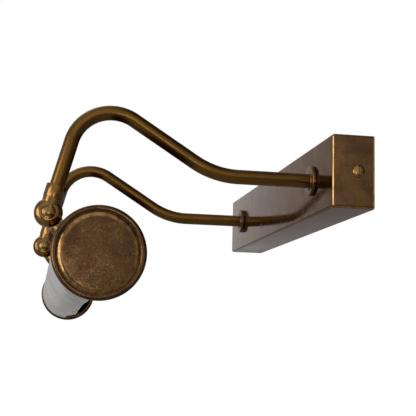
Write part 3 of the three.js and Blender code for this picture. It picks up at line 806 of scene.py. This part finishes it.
for side in sides:
    tube_low, tube_high = corners(f"arm_tube_{side}")
    centre = Vector(((tube_low.x + tube_high.x) / 2, pivot.y, pivot.z))

    ferrule_half = bmesh.new()
    turn_profile(ferrule_half, ball_half_profile(1), centre, (1, 0, 0))
    web(ferrule_half, centre, 1, arm_direction, ferrule_radius - 0.4)
    turn_profile(ferrule_half, [
        (clear_of_ball, 0), (clear_of_ball, ferrule_radius - 0.5),
        *arc(clear_of_ball + 0.4, ferrule_radius - 0.4, 0.4, 0.4, 180, 90, 3),
        *arc(ferrule_top - 0.6, ferrule_radius - 0.6, 0.6, 0.6, 90, 0, 4),
        (ferrule_top, ferrule_bore), (ferrule_floor, ferrule_bore), (ferrule_floor, 0),
    ], centre, arm_direction)
    add_piece(
        f"ferrule_half_{side}", ferrule_half, knuckle_brass, "wall_arms",
        [f"arm_knuckle_{side}"],
    )

    foot_half = bmesh.new()
    turn_profile(foot_half, ball_half_profile(-1), centre, (1, 0, 0))
    web(foot_half, centre, -1, stem_direction, neck_radius)
    turn_profile(foot_half, [
        (clear_of_ball, 0), (clear_of_ball, neck_radius - 0.7),
        *arc(clear_of_ball + 0.7, neck_radius - 0.7, 0.7, 0.7, 180, 90, 3),
        (shade_surface - 4.2, neck_radius),
        *arc(shade_surface - 4.2, neck_radius + 1.3, 1.9, 1.3, 270, 360, 5),
        *arc(shade_surface - 1.5, foot_radius - 0.9, 0.9, 0.9, 180, 90, 4),
        (shade_surface + foot_sunk, foot_radius), (shade_surface + foot_sunk, stem_radius),
        (shade_surface + stem_length - 0.5, stem_radius),
        (shade_surface + stem_length, stem_radius - 0.5), (shade_surface + stem_length, 0),
    ], centre, stem_direction)
    add_piece(
        f"foot_half_{side}", foot_half, knuckle_brass, "shade",
        [f"shade_knuckle_{side}"],
    )

    clamp_screw = bmesh.new()
    head_seat = centre + millimetres(ball_half + 0.1, 0, 0)
    slotted_head(
        clamp_screw, head_seat, (1, 0, 0), radius=6.2, rim=0.5, dome=3.1, slot_width=3.2,
        slot_depth=2.6, slot_along=arm_direction,
    )
    plain_shank(clamp_screw, head_seat, (1, 0, 0), length=15, radius=2.5, into_head=0.2)
    add_piece(
        f"clamp_screw_{side}", clamp_screw, screw_brass, "wall_arms",
        [f"knuckle_screw_{side}"],
    )

# ------------------------------------------------------------------------------------------------
# The shade is brass sheet rolled to a tube that stays open along one side. Both long edges are
# rolled into a round lip. It is toned brown outside and lacquered smooth.

shade_bronze = toned_metal(
    "shade_bronze", 0.000001, deep=(0.085, 0.045, 0.020, 1), main=(0.125, 0.068, 0.026, 1),
    amber=(0.160, 0.082, 0.024, 1), bare=(0.30, 0.18, 0.06, 1), cloud_scale=40.0, contrast=1.2,
    mottle=0.12, scratches=0.1, specks=0.05, edge_wear=0.5, smoothness=0.13,
)
opening = math.radians(90)
opening_middle = math.atan2(to_axis.z, to_axis.y)


def rolled_sheet(shape, radius, wall, length, start, sweep, steps):
    """Rolls a flat line of metal round the shade's axis. Angles run from +Y to +Z."""
    edge_point = shade_axis + Vector((0, math.cos(start), math.sin(start))) * radius / 1000
    half = millimetres(length / 2, 0, 0)
    ends = [shape.verts.new(edge_point - half), shape.verts.new(edge_point + half)]
    line = shape.edges.new(ends)
    bmesh.ops.spin(
        shape, geom=[*ends, line], cent=shade_axis, axis=(1, 0, 0), angle=sweep, steps=steps,
    )
    bmesh.ops.recalc_face_normals(shape, faces=shape.faces)
    outward = shape.faces[0].calc_center_median() - shade_axis
    outward.x = 0
    shape.faces.ensure_lookup_table()
    if shape.faces[0].normal.dot(outward) < 0:
        bmesh.ops.reverse_faces(shape, faces=shape.faces)
    bmesh.ops.solidify(shape, geom=shape.faces, thickness=wall / 1000)


tube_low, tube_high = corners("shade_tube")
tube_length = (tube_high.x - tube_low.x) * 1000
shade_wall = 1.0
sheet_start = opening_middle + opening / 2
sheet_sweep = 2 * math.pi - opening
shade_sheet = bmesh.new()
rolled_sheet(shade_sheet, shade_radius, shade_wall, tube_length, sheet_start, sheet_sweep, 120)
lip_radius = 1.2
lip_rounding = 0.6
clear_of_cap = 8.2
lip_length = tube_length - 2 * clear_of_cap
for angle in (sheet_start, sheet_start + sheet_sweep):
    outward = Vector((0, math.cos(angle), math.sin(angle)))
    lip_end = shade_axis + outward * (shade_radius - lip_radius) / 1000
    lip_end.x = -lip_length / 2000
    turn_profile(shade_sheet, [
        (0, 0),
        *arc(lip_rounding, lip_radius - lip_rounding, lip_rounding, lip_rounding, 180, 90, 2),
        (lip_length - lip_rounding, lip_radius), (lip_length, lip_rounding), (lip_length, 0),
    ], lip_end, (1, 0, 0), 20)
add_piece("shade_sheet", shade_sheet, shade_bronze, "shade", ["shade_tube"])

# ------------------------------------------------------------------------------------------------
# Each end cap is a spun brass cup: a raised disc with a rounded shoulder, a groove, and a round
# bead that covers the tube's edge. Its face is the most handled and scratched part.

cap_bronze = toned_metal(
    "cap_bronze", 0.000006, deep=(0.049, 0.023, 0.013, 1), main=(0.076, 0.038, 0.0175, 1),
    amber=(0.108, 0.059, 0.015, 1), bare=(0.25, 0.155, 0.050, 1), cloud_scale=60.0, contrast=1.5,
    mottle=0.32, scratches=0.95, specks=0.3, edge_wear=0.0, smoothness=0.25,
)
bead = 2.2
bead_middle = 30.8
bead_top = -0.6
groove_floor = -1.95
skirt = 30.2
skirt_end = -12.4
cap_sheet = 1.2
shoulder = 7
disc = 24.3
crown = 0.5
crowned = [(-crown * (radius / disc) ** 2, radius) for radius in range(21, -1, -3)]

# The cap's rounded shoulder is rubbed back to the brass, and its rim is smoother than its face.
tree = cap_bronze.node_tree
shader = tree.nodes["Principled BSDF"]
toned_colour = shader.inputs["Base Color"].links[0].from_socket
toned_roughness = shader.inputs["Roughness"].links[0].from_socket
from_axis = vector_maths(tree, "SUBTRACT", object_place(tree), tuple(shade_axis))["Vector"]
crosswise = vector_maths(tree, "MULTIPLY", from_axis, (0, 1, 1))["Vector"]
out_from_axis = vector_maths(tree, "LENGTH", crosswise)["Value"]
on_rim = smooth_step(tree, out_from_axis, 0.0242, 0.0262)
on_shoulder = calculate(tree, "MULTIPLY", on_rim, smooth_step(tree, out_from_axis, 0.0288, 0.0284))
feed(tree, shader.inputs["Roughness"], between(tree, on_rim, toned_roughness, 0.15))
rub_marks = smooth_step(tree, noise(tree, object_place(tree), 230, 4), 0.3, 0.7)
rubbed = calculate(tree, "MULTIPLY", on_shoulder, between(tree, rub_marks, 0.2, 0.85))
cap_colour = mix_colours(tree, rubbed, toned_colour, (0.38, 0.21, 0.075, 1))
feed(tree, shader.inputs["Base Color"], cap_colour)

for side, sign in sides.items():
    low, high = corners(f"end_cap_{side}")
    face = Vector((high.x if sign > 0 else low.x, shade_axis.y, shade_axis.z))
    cap = bmesh.new()
    turn_profile(cap, [
        (-cap_sheet, 0), (-cap_sheet, 24), (-4.4, skirt - cap_sheet),
        (skirt_end, skirt - cap_sheet), (skirt_end, skirt), (bead_top - 2 * bead, skirt),
        *arc(bead_top - bead, bead_middle, bead, bead, 180, 0, 14)[1:],
        *arc(bead_top - 1, bead_middle, 1, 2.1, 0, -62)[1:],
        (groove_floor, 28.74), (groove_floor, 28.56),
        *arc(-crown - shoulder, disc, shoulder, shoulder, 37, 2.4, 10), *crowned,
    ], face, (sign, 0, 0), 128)
    add_piece(f"shade_cap_{side}", cap, cap_bronze, "shade", [f"end_cap_{side}"])

# ------------------------------------------------------------------------------------------------
# Inside the shade a matt anodised aluminium trough throws the light out of the opening. A zinc
# plated plate stands across each of its ends and carries a lampholder.

trough_aluminium, tree, shader = start_material("trough_aluminium", metallic=1.0)
rolled = use_group(tree, brush_lines, along_x=1.0)
haze = smooth_step(tree, noise(tree, object_place(tree), 45, 4), 0.35, 0.7)
paint(tree, shader, haze, (0.78, 0.78, 0.77, 1), (0.66, 0.64, 0.60, 1))
feed(tree, shader.inputs["Roughness"], between(tree, rolled["Fine"], 0.3, 0.5))
raise_surface(tree, shader, rolled["Fine"], 0.00001)

trough_low, trough_high = corners("reflector")
trough_length = (trough_high.x - trough_low.x) * 1000
trough_radius = 29.2
trough_wall = 0.7
trough_sweep = math.radians(236)
trough_start = opening_middle + math.pi - trough_sweep / 2
trough = bmesh.new()
rolled_sheet(trough, trough_radius, trough_wall, trough_length, trough_start, trough_sweep, 96)
add_piece(
    "reflector_trough", trough, trough_aluminium, "shade", ["reflector"],
)
dress([f"reflector_end_{side}" for side in sides], zinc_plate)

# ------------------------------------------------------------------------------------------------
# The lampholders are black phenolic mouldings with grip ribs. Each holds a frosted tubular lamp
# with a nickel plated screw cap.

phenolic, tree, shader = start_material("black_phenolic")
filler = smooth_step(tree, noise(tree, object_place(tree), 600, 3), 0.45, 0.75)
paint(tree, shader, filler, (0.010, 0.009, 0.008, 1), (0.035, 0.030, 0.027, 1))
feed(tree, shader.inputs["Roughness"], between(tree, filler, 0.3, 0.5))
raise_surface(tree, shader, filler, 0.00001)

frosted_glass, tree, shader = start_material("frosted_glass")
etch = noise(tree, object_place(tree), 900, 3)
paint(tree, shader, etch, (0.86, 0.85, 0.81, 1), (0.95, 0.94, 0.91, 1))
feed(tree, shader.inputs["Roughness"], between(tree, etch, 0.35, 0.5))
shader.inputs["Transmission Weight"].default_value = 0.35
shader.inputs["IOR"].default_value = 1.5
raise_surface(tree, shader, etch, 0.00001)

nickel, tree, shader = start_material("nickel_plate", metallic=1.0)
smear = noise(tree, object_place(tree), 300, 4)
paint(tree, shader, smear, (0.48, 0.45, 0.40, 1), (0.66, 0.63, 0.57, 1))
feed(tree, shader.inputs["Roughness"], between(tree, smear, 0.2, 0.42))
raise_surface(tree, shader, smear, 0.00001)

holder_length = 30
holder_radius = 12
holder_bore = 7.7
holder_flange = 13.5
rib_depth = 0.5
glass_radius = 12.5
glass_straight = 104
glass_tip = 14
thread_pitch = 2.3
for side, sign in sides.items():
    low, high = corners(f"lampholder_{side}")
    foot = Vector((high.x if sign > 0 else low.x, shade_axis.y, shade_axis.z))
    inward = (-sign, 0, 0)
    holder = bmesh.new()
    grooves = []
    for start in range(8, 26, 3):
        floor_radius = holder_radius - rib_depth
        grooves += [(start, holder_radius), (start + rib_depth, floor_radius)]
        grooves += [(start + 1.5, floor_radius), (start + 2, holder_radius)]
    turn_profile(holder, [
        (0, 0), (0, holder_flange - 0.3), (0.3, holder_flange), (3.7, holder_flange),
        (4, holder_flange - 0.3), (5, holder_radius), *grooves,
        (holder_length - 0.8, holder_radius), (holder_length, holder_radius - 0.8),
        (holder_length, holder_bore), (10, holder_bore), (10, 0),
    ], foot, inward)
    add_piece(f"holder_{side}", holder, phenolic, "shade", [f"lampholder_{side}"])

    mouth = foot + millimetres(-sign * holder_length, 0, 0)
    glass = bmesh.new()
    turn_profile(glass, [
        (1.2, 0), (1.2, 6.5), *arc(9, 6.5, 7.8, 6, 180, 90, 8), (glass_straight, glass_radius),
        *arc(glass_straight, 0, glass_tip, glass_radius, 90, 0, 12),
    ], mouth, inward, 56)
    add_piece(f"lamp_glass_{side}", glass, frosted_glass, "shade", [f"lamp_{side}"])

    screw_cap = bmesh.new()
    threads = []
    for turn in range(6):
        root = thread_pitch * turn - 15
        threads += [(root, 6.4), (root + 1.1, 6.9)]
    turn_profile(screw_cap, [
        (-19, 0), (-18.6, 2.4), (-17.2, 3.2), (-16, 5.6), *threads, (-0.6, 6.6), (1.6, 7.2),
        (2, 6.6), (2, 0),
    ], mouth, inward, 48)
    add_piece(f"lamp_cap_{side}", screw_cap, nickel, "shade")
